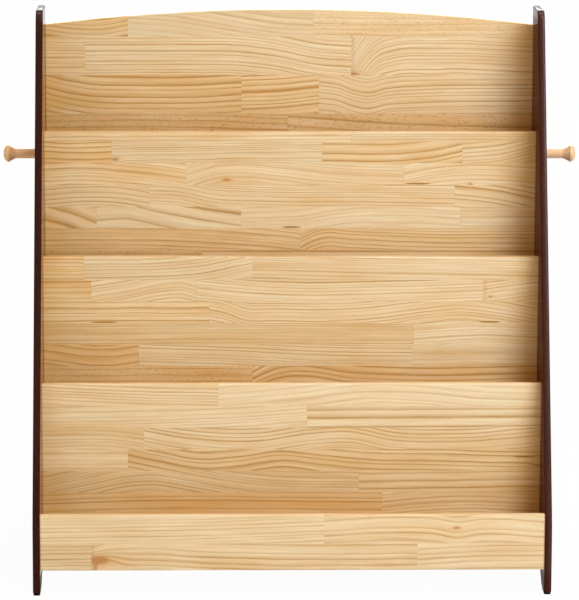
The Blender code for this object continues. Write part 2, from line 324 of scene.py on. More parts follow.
# %% Light and shade from the panels, painted on the boards
BOARD_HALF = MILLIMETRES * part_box("back_board")[1].x
CONTACT_SHADOW_WIDTH = 1.3  # millimetres of painted contact shadow at the ends of the boards, where they meet the panels
PAINTED_CORNER_REACH = 45.0  # millimetres from the panels over which the boards are painted warmer and lighter
BOUNCE_REACH = 60.0  # millimetres from the right panel over which its reflected colour is painted on as bounce light
LIP_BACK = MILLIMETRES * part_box("front_lip")[1].y
LIP_FADE = 5.0  # millimetres behind the lip over which the painted light begins
CONTACT_SHADOW_CORE = 0.3  # share of that width, at the very end of a board, that is painted fully dark


def painted_panel_light(base, place):
    """Shares of the painted contact shadow, of the painted warm light near both panels and of the painted
    bounce from the right one: smooth steps in x.
    """
    across, depth, _ = place.parts()
    from_middle = base.math("ABSOLUTE", across)
    within = depth.step(LIP_BACK, LIP_BACK + LIP_FADE)
    contact_shadow = from_middle.step(BOARD_HALF - CONTACT_SHADOW_WIDTH, BOARD_HALF - CONTACT_SHADOW_CORE * CONTACT_SHADOW_WIDTH)
    # painted warm light near both panels, and painted bounce light from the right one
    corner = from_middle.step(BOARD_HALF - PAINTED_CORNER_REACH, BOARD_HALF) * within
    bounce = across.step(BOARD_HALF - BOUNCE_REACH, BOARD_HALF) * within
    return contact_shadow, corner, bounce


print("boards end", round(BOARD_HALF, 1), "mm from the middle")

# %% [markdown]
# Early wood is pale, late wood ends the year with a thin dark line, and resin runs through both in short
# dashes. The fibres are noise stretched along the stave, but measured in rings, so that they bend with the
# grain. The lines are strong in some years and weak in others, and fade along the way. A clear satin
# lacquer lies over everything.

# %% Colours and noises of the pine
PALE_WOOD = (0.820, 0.685, 0.430, 1.0)  # early wood
WARM_WOOD = (0.695, 0.420, 0.150, 1.0)  # early wood of a resinous stave
LATE_WOOD = (0.455, 0.230, 0.042, 1.0)  # the dark line that ends a year
RESIN = (0.210, 0.072, 0.012, 1.0)
KNOT_WOOD = (0.450, 0.185, 0.055, 1.0)
PITCH_AMBER = (0.340, 0.155, 0.006, 1.0)
# the colour of the painted contact shadow where the boards meet the panels
PAINTED_CONTACT_SHADOW = (0.300, 0.095, 0.025, 1.0)
YEAR_PROFILE = ((0.0, 0.22), (0.10, 0.0), (0.50, 0.05), (0.78, 0.42), (0.88, 1.0), (0.94, 0.95), (1.0, 0.22))
FADE_GRAIN = (0.010, 0.12, 0.1)  # how fine each noise is along the fibres, over the rings and between staves
FIBRE_GRAIN = (0.016, 0.50, 0.1)
STREAK_GRAIN = (0.006, 0.14, 0.1)
MOTTLE_GRAIN = (0.008, 0.03, 0.1)
DASH_GRAIN = (0.18, 1.1, 0.1)
DASH_EDGE = (0.60, 0.72)  # noise levels between which a dash of resin begins
DASH_EVERYWHERE = 0.10  # dashes on a stave that isn't flecked
KNOT_EDGE = (0.60, 0.95)
KNOT_EVEN = 0.80  # how dark a knot is, and how much its fibres change that
KNOT_STREAKS = 1.8
print("early wood", PALE_WOOD[:3], "late wood", LATE_WOOD[:3])

# %% The pine finish
MOTTLE_WARMTH = 0.9  # how much each of these warms the wood
STREAK_WARMTH = 0.9
KNOT_WARMTH = 0.5
# painted light near the panels: warmth near both, bounce from the right one, and lightness
PAINTED_CORNER_WARMTH = 0.30
BOUNCE_WARMTH = 0.24
PAINTED_CORNER_LIGHT = 0.09
FIBRE_LIGHT = 0.18
LINE_LEAST = 0.45  # what is left of a line in its weakest year, and where it fades
LINE_BY_YEAR = 0.60
LINE_BY_FADE = 1.1
LATE_EVERYWHERE = 0.10  # late wood between the lines
LATE_MOST = 0.92
FIBRE_LATE = 0.5
DASH_LATE = 0.75
SEAM_SHARE = 0.1  # how much of its colour each of these lays over the wood
COMB_SHARE = 0.5
PITCH_SHARE = 0.95
KNOT_SHARE = 0.9
# painted contact shadow at the ends of the boards
CONTACT_SHADOW_SHARE = 0.55


def make_pine():
    """Pine under a clear satin lacquer: early wood, then late wood, resin, pitch and knots, with painted
    shade and light near the panels over it.
    """
    material, base, shader = new_finish("pine")
    place = object_place(base)
    light, warmth, line_strength = base.attribute("stave_tone").parts()
    _, seed, flecked = base.attribute("stave_flow").parts()
    rings, fibre_place, near_knot = pine_rings(base, place, seed)
    number = base.add("CombineXYZ", {}, {0: base.math("FLOOR", rings), 1: seed})
    year = base.add("TexWhiteNoise", {"noise_dimensions": "2D"}, {"Vector": number})
    fade = base.noise(fibre_place, FADE_GRAIN)
    line = base.math("FRACT", rings).ramp(*YEAR_PROFILE) * line_strength
    line = line * (LINE_LEAST + LINE_BY_YEAR * year) * (LINE_LEAST + LINE_BY_FADE * fade)
    fibre = base.noise(fibre_place, FIBRE_GRAIN, detail=4.0, roughness=0.65) - 0.5
    streak = base.noise(fibre_place, STREAK_GRAIN) - 0.5
    mottle = base.noise(fibre_place, MOTTLE_GRAIN) - 0.5
    dash = base.noise(fibre_place, DASH_GRAIN, detail=1.0).step(*DASH_EDGE) * (DASH_EVERYWHERE + flecked)
    seam, comb = pine_joints(base, place)
    pitch = pine_pitch(base, place)
    # painted shade and light from the panels: contact shadow, warm light near them, bounce from the right
    contact_shadow, corner, bounce = painted_panel_light(base, place)
    warm = warmth + mottle * MOTTLE_WARMTH + streak * STREAK_WARMTH + near_knot * KNOT_WARMTH
    warm = warm + corner * PAINTED_CORNER_WARMTH + bounce * BOUNCE_WARMTH
    late = line + LATE_EVERYWHERE - fibre * FIBRE_LATE + dash * DASH_LATE
    joint = seam * SEAM_SHARE + comb * COMB_SHARE
    knot = near_knot.step(*KNOT_EDGE) * (KNOT_EVEN + fibre * KNOT_STREAKS).kept(0.0, 1.0)
    colour = base.blend(PALE_WOOD, WARM_WOOD, warm.kept(0.0, 1.0))
    colour = base.blend(colour, LATE_WOOD, late.kept(0.0, LATE_MOST))
    colour = base.blend(colour, RESIN, joint)
    colour = base.blend(colour, PITCH_AMBER, pitch * PITCH_SHARE)
    colour = base.blend(colour, KNOT_WOOD, knot * KNOT_SHARE)
    colour = base.blend(colour, PAINTED_CONTACT_SHADOW, contact_shadow * CONTACT_SHADOW_SHARE)
    colour = colour.scaled(1.0 + light + fibre * FIBRE_LIGHT + corner * PAINTED_CORNER_LIGHT)
    relief = base.relief(fibre * 0.6 - line * 0.5 - seam * 0.6, strength=0.15, depth=0.0002)
    feed(shader, Base_Color=colour, Roughness=0.45 + fibre * 0.2 - line * 0.06, Normal=relief)
    feed(shader, Specular_IOR_Level=0.28)
    return material


pine = make_pine()
print("pine:", len(pine.node_tree.nodes), "nodes")

# %% [markdown]
# ## What each stave shows
# A stave sawn beside the pith shows straight lines, one sawn near the bark shows wide plain bands, and a
# branch close by bends the lines up or down. The figures below give each habit its pith, ring width and
# colour. Then each board lists its rows from the top, and each row its staves from the left: their length,
# their figure, the flow of the fibres as heights along the way, and a tone where a stave stands out as
# pale, honey coloured, dim or deep. What is left open is drawn from a seeded generator, so the boards come
# out alike each time.

# %% Figures of the grain
REST = None  # a stave that takes what is left of its row
LEVEL = ((0, 0), (100, 0))


@dataclass
class Figure:
    """Habit of a stave: pith across from and behind its face, ring width (mm), and how its wood looks."""

    across: float
    behind: float
    spacing: float
    warmth: float = 0.30
    line: float = 0.80
    flecks: float = 0.0


@dataclass
class Stave:
    """One stave (mm): length, figure, flow as (along, height) pairs, and what else shows on it.

    A knot is (along, up, radius), a pitch pocket (along, up, half its length), and fingers is how strongly
    the joint on its left shows.
    """

    length: float
    figure: str
    flow: tuple = LEVEL
    knot: tuple = ()
    fingers: float = 0.0
    pitch: tuple = ()
    tone: str = "even"


@dataclass
class Tone:
    """How a stave differs from others of its figure: lighter or darker, warmer or paler."""

    light: float = 0.0
    warm: float = 0.0


@dataclass
class Layout:
    """The staves of a board (mm): height of its first row, height of the others, and its rows of staves."""

    first: float
    width: float
    rows: tuple


FIGURES = {
    "straight": Figure(75, 30, 5.0),
    "fine": Figure(95, 20, 3.7, line=0.75),
    "faint": Figure(75, 30, 5.0, line=0.50),
    "speckled": Figure(75, 30, 5.0, line=0.40, flecks=0.6),
    "open": Figure(110, 30, 12.0, line=0.80),
    "wide": Figure(110, 30, 18.0, warmth=0.20, line=0.95),
    "plain": Figure(90, 60, 6.5, warmth=0.20, line=0.40),
    "broad": Figure(85, 30, 8.0, line=0.65),
    "bold": Figure(80, 30, 7.5, warmth=0.48, line=1.15),
    "flecked": Figure(60, 60, 6.0, warmth=0.55, line=0.70, flecks=0.9),
}
TONES = {
    "even": Tone(),
    "pale": Tone(warm=-0.20),
    "honey": Tone(light=0.04, warm=0.16),
    "dim": Tone(light=-0.05),
    "deep": Tone(light=-0.04, warm=0.13),
}
print("figures:", ", ".join(FIGURES))
print("tones:", ", ".join(TONES))

# %% [markdown]
# The highest board has wide staves; its second row starts a fan of fibres beside a joint, where a branch
# grew.

# %% Staves of the back board
STAVES = {}


def show_rows(board):
    """Prints how many staves each row of a board has."""
    print(board, "has rows of", [len(row) for row in STAVES[board].rows], "staves")


STAVES["back_board"] = Layout(37.8, 53.8, (
    (
        Stave(115, "bold", ((0, 2), (40, -3), (80, -4), (115, 2))),
        Stave(258, "plain", ((0, 12), (60, 8), (140, -4), (200, -14), (258, -18)), tone="dim"),
        Stave(REST, "speckled", ((0, 0), (150, -2), (307, 1))),
    ),
    (
        Stave(55, "straight", tone="honey"),
        Stave(371, "straight", ((0, 0), (150, 1), (215, 0), (270, -7), (320, -17), (371, -21))),
        Stave(REST, "straight", ((0, -56), (15, -34), (35, -12), (60, -3), (110, 0), (254, -4)),
              knot=(3, -26, 5), fingers=1.0),
    ),
    (
        Stave(273, "bold", ((0, 14), (25, 8), (60, 2), (120, 0), (200, 0), (273, 4)), tone="honey"),
        Stave(108, "bold", ((0, 0), (50, 2), (108, 8)), tone="honey"),
        Stave(REST, "straight", ((0, 0), (25, -3), (50, -12), (68, -15), (95, -9), (140, -6), (299, -4))),
    ),
    (
        Stave(338, "flecked", ((0, 0), (200, 0), (338, -4))),
        Stave(REST, "flecked", ((0, 8), (60, 4), (120, 0), (341, -8))),
    ),
    (Stave(230, "straight"), Stave(REST, "plain")),
))
show_rows("back_board")

# %% [markdown]
# The three tier boards have narrow staves. The rows that no eye reaches, behind the next tier, are kept
# simple.

# %% Staves of the upper tier board
STAVES["upper_tier_board"] = Layout(12.8, 30.4, (
    (Stave(424, "straight", ((0, 0), (424, 2))), Stave(REST, "fine", tone="dim")),
    (
        Stave(93, "bold", ((0, 0), (45, -2), (93, -1)), tone="honey"),
        Stave(291, "fine", ((0, -3), (150, 0), (291, 2)), knot=(5, -10, 3), tone="dim"),
        Stave(194, "bold", ((0, 0), (110, 0), (150, 4), (194, 13))),
        Stave(REST, "straight", ((0, 0), (50, 4), (102, 16)), tone="deep"),
    ),
    (
        Stave(196, "straight", ((0, 3), (60, 4), (120, 0), (196, -9)), tone="honey"),
        Stave(301, "faint", ((0, -8), (40, 4), (75, 7), (130, 2), (200, -6), (301, -10)), knot=(56, -8, 3)),
        Stave(REST, "faint", ((0, -8), (40, 0), (80, 4), (130, 3), (182, 0)), knot=(92, -14, 2),
              pitch=(20, -13.5, 20)),
    ),
    (
        Stave(145, "straight", ((0, 0), (50, 4), (100, 3), (145, -4))),
        Stave(423, "fine", ((0, 8), (40, 6), (90, -4), (150, -7), (300, -8), (423, -10))),
        Stave(REST, "bold", ((0, 6), (55, 0), (111, -12)), tone="pale"),
    ),
    (
        Stave(72, "wide", ((0, 10), (30, 2), (72, -14)), tone="honey"),
        Stave(200, "wide", ((0, 8), (40, 10), (90, 0), (140, -9), (200, -18))),
        Stave(304, "plain", ((0, -10), (80, -6), (150, 4), (220, 5), (304, 2)), pitch=(70, -13.5, 15)),
        Stave(REST, "fine"),
    ),
    (
        Stave(354, "straight", ((0, 2), (100, 3), (200, 0), (280, -4), (354, -12)), tone="honey"),
        Stave(REST, "straight", ((0, -12), (20, -2), (35, 2), (60, 0), (120, -3), (327, -6)), tone="honey"),
    ),
    (Stave(218, "flecked"), Stave(REST, "bold")),
    (Stave(300, "straight"), Stave(REST, "plain")),
    (Stave(REST, "straight"),),
))
show_rows("upper_tier_board")

# %% Staves of the middle tier board
STAVES["middle_tier_board"] = Layout(31.8, 30.0, (
    (
        Stave(56, "straight", tone="honey"),
        Stave(231, "straight", ((0, 0), (90, 1), (150, 5), (231, 20)), tone="dim"),
        Stave(REST, "fine", ((0, 3), (100, 0), (392, -6)), tone="dim"),
    ),
    (
        Stave(66, "bold", tone="honey"),
        Stave(144, "straight", ((0, -16), (50, -8), (100, 2), (125, 3), (144, -2))),
        Stave(394, "straight", ((0, 8), (60, 2), (130, -2), (250, -1), (394, 4)), tone="pale"),
        Stave(REST, "straight", ((0, -4), (75, 6)), knot=(10, -8, 1.5), fingers=0.7),
    ),
    (
        Stave(228, "straight", pitch=(83, -13.5, 22), tone="honey"),
        Stave(REST, "straight",
              ((0, 14), (25, 8), (45, 0), (90, -2), (220, 0), (300, 10), (345, 14), (400, 8), (452, -2)),
              pitch=(386, -13.5, 17)),
    ),
    (
        Stave(509, "fine", ((0, 0), (250, 2), (509, 0)), tone="deep"),
        Stave(REST, "fine", ((0, -2), (90, 3), (172, 0)), tone="pale"),
    ),
    (
        Stave(131, "bold", ((0, 4), (60, -4), (90, -5), (131, 0)), tone="honey"),
        Stave(376, "straight", ((0, 6), (120, 2), (250, -4), (376, -6))),
        Stave(REST, "plain", tone="deep"),
    ),
    (
        Stave(287, "flecked", tone="honey"),
        Stave(REST, "bold", ((0, -16), (25, -4), (50, 2), (80, 2), (130, -6), (200, -10), (391, -8)),
              tone="honey"),
    ),
    (Stave(200, "straight"), Stave(REST, "fine")),
    (Stave(410, "plain"), Stave(REST, "straight")),
))
show_rows("middle_tier_board")

# %% Staves of the lower tier board
STAVES["lower_tier_board"] = Layout(30.7, 30.0, (
    (
        Stave(240, "straight", ((0, 6), (120, 0), (240, -3))),
        Stave(REST, "plain", ((0, -14), (100, -6), (200, 6), (280, 4), (360, -4), (439, -6)), tone="pale"),
    ),
    (
        Stave(361, "faint", ((0, -5), (150, -2), (300, 4), (361, 9)), tone="pale"),
        Stave(REST, "open", ((0, 0), (318, 2)), tone="pale"),
    ),
    (
        Stave(139, "straight", ((0, 0), (100, 0), (139, -5))),
        Stave(REST, "straight",
              ((0, 10), (30, 4), (80, -3), (160, -4), (230, 6), (280, 8), (340, -4), (420, -6), (541, 2))),
    ),
    (
        Stave(117, "plain", tone="honey"),
        Stave(REST, "bold",
              ((0, 16), (40, 8), (90, -2), (150, 0), (210, 8), (260, 2), (320, -4), (420, -6), (563, -10)),
              knot=(560, -8, 3), pitch=(540, 4, 16)),
    ),
    (
        Stave(432, "straight", ((0, -24), (60, -12), (120, 0), (150, 2), (200, -6), (280, -20), (432, -26)),
              tone="deep"),
        Stave(REST, "bold", ((0, 0), (248, 3))),
    ),
    (
        Stave(464, "bold", ((0, -2), (120, 2), (464, 0)), tone="honey"),
        Stave(REST, "straight", ((0, -4), (60, 2), (120, 4), (214, 0)), tone="honey"),
    ),
    (Stave(260, "straight"), Stave(REST, "plain")),
    (Stave(330, "fine"), Stave(REST, "straight")),
))
show_rows("lower_tier_board")

# %% Staves of the front lip and the shelves
STAVES["front_lip"] = Layout(39.3, 36.7, (
    (
        Stave(383, "faint", ((0, -3), (200, 0), (383, 6)), tone="pale"),
        Stave(REST, "broad", ((0, 0), (90, 5), (150, 3), (177, -2), (210, 2), (296, -2)), knot=(178, 2, 2.5)),
    ),
    (
        Stave(69, "straight", ((0, 0), (69, 1)), tone="dim"),
        Stave(439, "broad", ((0, -4), (25, 4), (60, 7), (150, 3), (250, 0), (439, 0)), knot=(10, -4, 9),
              fingers=0.8),
        Stave(REST, "broad", ((0, -4), (60, 0), (171, 2)), tone="pale"),
    ),
))
SHELF_STAVES = Layout(28.0, 28.0, (
    (Stave(250, "straight"), Stave(REST, "plain")),
    (Stave(430, "plain"), Stave(REST, "straight")),
    (Stave(REST, "fine"),),
))
show_rows("front_lip")

# %% [markdown]
# ## From points to a piece
# All pieces are made the same way: arrays of points and faces go into a mesh, which is shaded smooth up to
# a sharp angle, rides on the frame, and stands for the frame's own plain solid.

# %% Helpers for pieces
SMOOTH_ANGLE = math.radians(38)


def grid_faces(rows, columns):
    """Quads between neighbours of a grid of points; the last column joins the first."""
    row, column = np.meshgrid(np.arange(rows - 1), np.arange(columns), indexing="ij")
    after = (column + 1) % columns
    here, above = row * columns, (row + 1) * columns
    return np.stack([here + column, here + after, above + after, above + column], axis=-1).reshape(-1, 4)


def end_faces(rows, columns):
    """One face on the first row of a grid and one on the last."""
    last = (rows - 1) * columns
    return [list(range(columns))[::-1], list(range(last, last + columns))]


def make_piece(name, points, faces, finish, node):
    """A finished piece in place of the frame's node, from its points and faces, turned outwards."""
    mesh = bpy.data.meshes.new(name)
    mesh.from_pydata(np.asarray(points, float).tolist(), [], [[int(i) for i in face] for face in faces])
    bm = bmesh.new()
    bm.from_mesh(mesh)
    bmesh.ops.recalc_face_normals(bm, faces=bm.faces)
    open_edges = sum(not edge.is_manifold for edge in bm.edges)
    if open_edges:
        print("open edges on", name, open_edges)
    bm.to_mesh(mesh)
    bm.free()
    mesh.shade_smooth()
    mesh.set_sharp_from_angle(angle=SMOOTH_ANGLE)
    mesh.materials.append(finish)
    piece = bpy.data.objects.new(name, mesh)
    bpy.context.scene.collection.objects.link(piece)
    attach(piece, "root")
    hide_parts(node)
    return piece


def make_closed(name, rings, finish, node):
    """A piece from a grid of rings, with a face on its first ring and one on its last."""
    shape = rings.shape[:2]
    faces = [*grid_faces(*shape), *end_faces(*shape)]
    return make_piece(name, rings.reshape(-1, 3), faces, finish, node)


print("pieces are smooth up to", round(math.degrees(SMOOTH_ANGLE)), "degrees")

# %% [markdown]
# ## The boards
# A board is one cross-section carried along its length: up the front face with a point at every glue line,
# over an eased edge, down the back and round again. It could be a box with a bevel, but then no edge of the
# mesh would lie on a joint. Here columns stand at the joints, so each face belongs to one stave and can
# carry that stave's numbers. The back board's top edge follows an arc, so its columns end at different
# heights.

# %% Cross-section of a board
EASE_STEPS = 5


def section(low, high, near, far, ease, glue_lines):
    """Closed loop of (through, across): front up, quarter round, back down, quarter round."""
    turn = np.linspace(0, math.pi / 2, EASE_STEPS + 1)
    front = np.concatenate([[low + ease], glue_lines, [high - ease]])
    up = np.stack([np.full_like(front, near), front], axis=-1)
    down = np.stack([np.full_like(front, far), front[::-1]], axis=-1)
    less, more = ease * (1 - np.cos(turn)), ease * (1 - np.sin(turn))
    top_near = np.stack([near + less, high - more], axis=-1)[1:]
    top_far = np.stack([far - more, high - less], axis=-1)[:-1]
    under_far = np.stack([far - less, low + more], axis=-1)[1:]
    under_near = np.stack([near + more, low + less], axis=-1)[:-1]
    return np.concatenate([up, top_near, top_far, down, under_far, under_near])


def cap_faces(first, rows, loop):
    """The end of a board: a quad for each stave between front and back, and one face for each eased edge."""
    front = first + np.arange(rows + 1)
    back = first + rows + 1 + 2 * EASE_STEPS + np.arange(rows + 1)[::-1]
    faces = [[front[i], front[i + 1], back[i + 1], back[i]] for i in range(rows)]
    faces.append(list(range(front[-1], back[-1] + 1)))
    faces.append([*range(back[0], first + loop), front[0]])
    return faces


def stave_table(layout, left, right, top, bottom):
    """Edges of the rows from the top, and the joints of each row, in metres."""
    lines = (layout.first + layout.width * np.arange(len(layout.rows) - 1)) / MILLIMETRES
    edges = top - np.concatenate([[0.0], lines, [top - bottom]])
    joints = []
    for row in layout.rows:
        ends = np.cumsum([stave.length for stave in row[:-1]]) / MILLIMETRES
        joints.append(np.concatenate([[left], left + ends, [right]]))
    return edges, joints


print("an eased edge has", EASE_STEPS, "steps")

# %% [markdown]
# ## Staves on the faces
# Every face of a board asks which row and which stave it lies in, and takes that stave's numbers. The rise
# of the fibres is the one number that changes along a stave: a smooth curve through the listed heights,
# read at each corner of the mesh.

# %% The numbers of a stave
rng = np.random.default_rng(7)
FAR_AWAY = 10 * MILLIMETRES  # where the knot of a stave without one lies
SEED_RANGE = 50.0
BELOW = -0.2  # draws under it put the pith below the stave
PITH_STRAY = 8.0  # millimetres by which a pith may lie off its figure's place
DEPTH_STRAY = 0.20  # shares by which its depth and its rings may differ
RING_STRAY = 0.12
LIGHT_STRAY = 0.010
WARM_STRAY = 0.08


def flow_height(flow, along):
    """A smooth curve through (along, height) pairs: cubics that take their slopes from both neighbours."""
    place, height = np.array(flow, float).T
    slope = np.gradient(height, place)
    i = np.clip(np.searchsorted(place, along) - 1, 0, len(place) - 2)
    reach = place[i + 1] - place[i]
    t = np.clip((along - place[i]) / reach, 0, 1)
    start = height[i] + (t**2) * (3 - 2 * t) * (height[i + 1] - height[i])
    return start + reach * (t * (1 - t) ** 2 * slope[i] - t**2 * (1 - t) * slope[i + 1])


def stave_vectors(stave, left, right, middle, face, upright):
    """The numbers that a stave hands to the shader, in millimetres; the rise is added at each corner."""
    figure = FIGURES[stave.figure]
    jitter = rng.uniform(-1, 1, 6)
    side = 1.0 if jitter[0] > BELOW else -1.0
    across = MILLIMETRES * middle + side * figure.across + PITH_STRAY * jitter[1]
    through = MILLIMETRES * face + figure.behind * (1 + DEPTH_STRAY * jitter[2])
    pith = (through, across) if upright else (across, through)
    start = MILLIMETRES * left
    knot_along, knot_up, knot_radius = stave.knot or (FAR_AWAY, 0.0, 1.0)
    pitch_along, pitch_up, pitch_half = stave.pitch or (FAR_AWAY, 0.0, 1.0)
    tone = TONES[stave.tone]
    light = tone.light + LIGHT_STRAY * jitter[4]
    warmth = figure.warmth + tone.warm + WARM_STRAY * jitter[5]
    return {
        "stave_pith": (*pith, figure.spacing * (1 + RING_STRAY * jitter[3])),
        "stave_flow": (0.0, rng.uniform(0, SEED_RANGE), figure.flecks),
        "stave_knot": (start + knot_along, MILLIMETRES * middle + knot_up, knot_radius),
        "stave_pitch": (start + pitch_along, MILLIMETRES * middle + pitch_up, pitch_half),
        "stave_tone": (light, warmth, figure.line),
        "stave_ends": (start, MILLIMETRES * right, stave.fingers),
    }


print("a flow of (0, 0) and (10, 4) is", flow_height(((0, 0), (10, 4)), np.array([5.0])), "halfway")


# %% Spread the staves over a board
def find_staves(mesh, edges, joints, across):
    """The number of the stave under the centre of every face, counted along the rows."""
    centres = np.empty(len(mesh.polygons) * 3, np.float32)
    mesh.polygons.foreach_get("center", centres)
    centres = centres.reshape(-1, 3)
    row_of = np.clip(np.searchsorted(-edges, -centres[:, across]) - 1, 0, len(joints) - 1)
    found = np.zeros(len(centres), int)
    first = 0
    for row, ends in enumerate(joints):
        here = row_of == row
        found[here] = first + np.clip(np.searchsorted(ends, centres[here, 0]) - 1, 0, len(ends) - 2)
        first += len(ends) - 1
    return found


def spread_staves(piece, layout, edges, joints, face, across):
    """Gives every corner of a board the vectors of its stave, with the fibre's rise at that corner."""
    mesh = piece.data
    totals = np.empty(len(mesh.polygons), np.int32)
    mesh.polygons.foreach_get("loop_total", totals)
    corner_stave = np.repeat(find_staves(mesh, edges, joints, across), totals)
    corner_point = np.empty(len(mesh.loops), np.int32)
    mesh.loops.foreach_get("vertex_index", corner_point)
    points = np.empty(len(mesh.vertices) * 3, np.float32)
    mesh.vertices.foreach_get("co", points)
    corner_x = points.reshape(-1, 3)[corner_point, 0]
    tables, rise = [], np.zeros(len(corner_x))
    for row, (staves, ends) in enumerate(zip(layout.rows, joints)):
        middle = (edges[row] + edges[row + 1]) / 2
        for stave, left, right in zip(staves, ends, ends[1:]):
            here = corner_stave == len(tables)
            rise[here] = flow_height(stave.flow, MILLIMETRES * (corner_x[here] - left))
            tables.append(stave_vectors(stave, left, right, middle, face, across == 2))
    for name in tables[0]:
        vectors = np.array([table[name] for table in tables])[corner_stave]
        if name == "stave_flow":
            vectors[:, 0] = rise
        attribute = mesh.attributes.new(name, "FLOAT_VECTOR", "CORNER")
        attribute.data.foreach_set("vector", vectors.astype(np.float32).ravel())


print("boards:", ", ".join(STAVES))

# %% Build the boards and shelves
BOARD_EASE = 0.0015
SHELF_EASE = 0.0008
BACK_ARCH_RISE = 0.021
COLUMN_STEP = 0.006
SEAT = 0.00028  # by which a board is pushed into the clearance at each panel


def make_board(node, layout, ease, upright=True, arch_rise=0.0):
    """One pine board or shelf: the cross-section at every column; arch_rise bows an upright one's top."""
    low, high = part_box(node)
    through, across = (1, 2) if upright else (2, 1)
    left, right = low.x - SEAT, high.x + SEAT
    edges, joints = stave_table(layout, left, right, high[across], low[across])
    glue_lines = edges[1:-1][::-1]
    steps = round((right - left) / COLUMN_STEP)
    columns = np.unique(np.concatenate([*joints, np.linspace(left, right, steps + 1)]).round(6))
    loop = section(low[across], high[across], low[through], high[through], ease, glue_lines)
    points = np.empty((len(columns), len(loop), 3))
    points[..., 0] = columns[:, None]
    points[..., through] = loop[:, 0]
    points[..., across] = loop[:, 1]
    if arch_rise:
        radius = (high.x**2 + arch_rise**2) / (2 * arch_rise)
        drop = radius - np.sqrt(radius**2 - columns**2)
        points[..., across] -= drop[:, None] * (loop[:, 1] > glue_lines[-1] + ease)
    faces = grid_faces(len(columns), len(loop))
    last = (len(columns) - 1) * len(loop)
    rows = len(glue_lines) + 1
    caps = cap_faces(0, rows, len(loop)) + cap_faces(last, rows, len(loop))
    piece = make_piece(f"pine_{node}", points.reshape(-1, 3), [*faces, *caps], pine, node)
    spread_staves(piece, layout, edges, joints, low[through], across)
    return piece


boards = []
for board_node, board_layout in STAVES.items():
    bow = BACK_ARCH_RISE if board_node == "back_board" else 0.0
    boards.append(make_board(board_node, board_layout, BOARD_EASE, arch_rise=bow))
for shelf_node in ("bottom_shelf", "middle_shelf", "upper_shelf", "top_shelf"):
    boards.append(make_board(shelf_node, SHELF_STAVES, SHELF_EASE, upright=False))
print("boards:", {board.name: len(board.data.polygons) for board in boards})

# %% [markdown]
# ## The stained side panels
# The panels are of the same kind of wood, stained dark and lacquered until only a trace of the grain is
# left. Seen along their faces the lacquer mirrors the boards. A flat brown would look like plastic, so the
# stain is a little thinner where the wood was harder, along upright streaks. On the inner faces the stain is
# painted lighter, a painted reflection of the boards, and it is painted lighter in step with the lacquer of
# the faces and rims, a painted sheen. The lacquer is a coat of its own over the stain, so its gloss can
# change by itself: thick on the crown, thinner on the right panel than on the left, worn at the feet, and
# next to nothing on the sanded edges, except on the outer side of the right one.

# %% The dark stain
STAIN_DEEP = (0.026, 0.0080, 0.0050, 1.0)
STAIN_THIN = (0.055, 0.0180, 0.0105, 1.0)
STAIN_PORE = (0.012, 0.0030, 0.0020, 1.0)
FOOT_LACQUER = 0.28  # what is left of the lacquer inside the feet
FOOT_HEIGHTS = (21.0, 35.0)  # millimetres over which the worn feet end
CROWN_LACQUER = 0.60
CROWN_DEPTHS = (20.0, 10.0)  # millimetres below the top over which the crown begins
PAINTED_SHEEN = 0.8  # how much lighter the stain is painted under full lacquer: a painted sheen
PAINTED_INNER_REFLECTION = 2.4  # how much lighter the stain is painted on the inner faces: a painted reflection of the boards
INNER_EDGE = (0.1, 0.6)  # millimetres outside the ends of the boards over which an inner face ends
STAIN_STREAK = (0.6, 0.16, 0.006)  # how fine its noises are through, along and up the panel
STAIN_PORES = (2.2, 1.4, 0.05)
STAIN_CLOUD = (0.02, 0.02, 0.006)
STREAK_EDGE = (0.38, 0.72)  # noise levels between which a streak and a pore begin
PORE_EDGE = (0.60, 0.72)
STREAK_THIN = 0.54  # how much of the thin stain a streak and a cloud show
CLOUD_THIN = 0.45
PORE_SHARE = 0.6
PANEL_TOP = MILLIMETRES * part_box("left_side_panel")[1].z


def make_stain():
    """Dark stained wood under satin lacquer, with upright streaks, painted lighter on the inner faces and
    under thick lacquer: painted reflection and sheen.
    """
    material, base, shader = new_finish("dark_stain")
    place = object_place(base)
    streak = base.noise(place, STAIN_STREAK, detail=4.0, roughness=0.6)
    pores = base.noise(place, STAIN_PORES, detail=2.0)
    cloud = base.noise(place, STAIN_CLOUD, detail=1.0)
    thin = streak.step(*STREAK_EDGE) * STREAK_THIN + cloud * CLOUD_THIN
    colour = base.blend(STAIN_DEEP, STAIN_THIN, thin)
    colour = base.blend(colour, STAIN_PORE, pores.step(*PORE_EDGE) * PORE_SHARE)
    relief = base.relief(streak * 0.3 - pores * 0.5, strength=0.05, depth=0.0002)
    lacquer = base.add("Attribute", {"attribute_name": "lacquer"}, out="Fac")
    across, _, height = place.parts()
    inside = 1 - (base.math("ABSOLUTE", across) - BOARD_HALF).step(*INNER_EDGE)
    # painted sheen where the lacquer is thick, and painted reflection on the inner faces
    colour = colour.scaled(1.0 + PAINTED_SHEEN * lacquer + PAINTED_INNER_REFLECTION * inside)
    kept = height.step(*FOOT_HEIGHTS)
    foot = FOOT_LACQUER * inside * (1 - kept)
    crown = CROWN_LACQUER * height.step(*(PANEL_TOP - depth for depth in CROWN_DEPTHS))
    coat = base.math("MAXIMUM", lacquer * kept + foot, crown)
    feed(shader, Base_Color=colour, Roughness=0.30 + (pores - 0.5) * 0.08, Normal=relief)
    feed(shader, Specular_IOR_Level=0.0, Coat_Weight=coat, Coat_Roughness=0.10, Coat_IOR=1.3)
    return material


stain = make_stain()
print("stain:", len(stain.node_tree.nodes), "nodes")

# %% [markdown]
# ## The shape of a panel
# Seen from the side a panel has an upright toe, a raked front edge, a rounded crown and an arch between two
# feet. The outline is drawn from arcs: one for each rounded corner, and one for the arch.

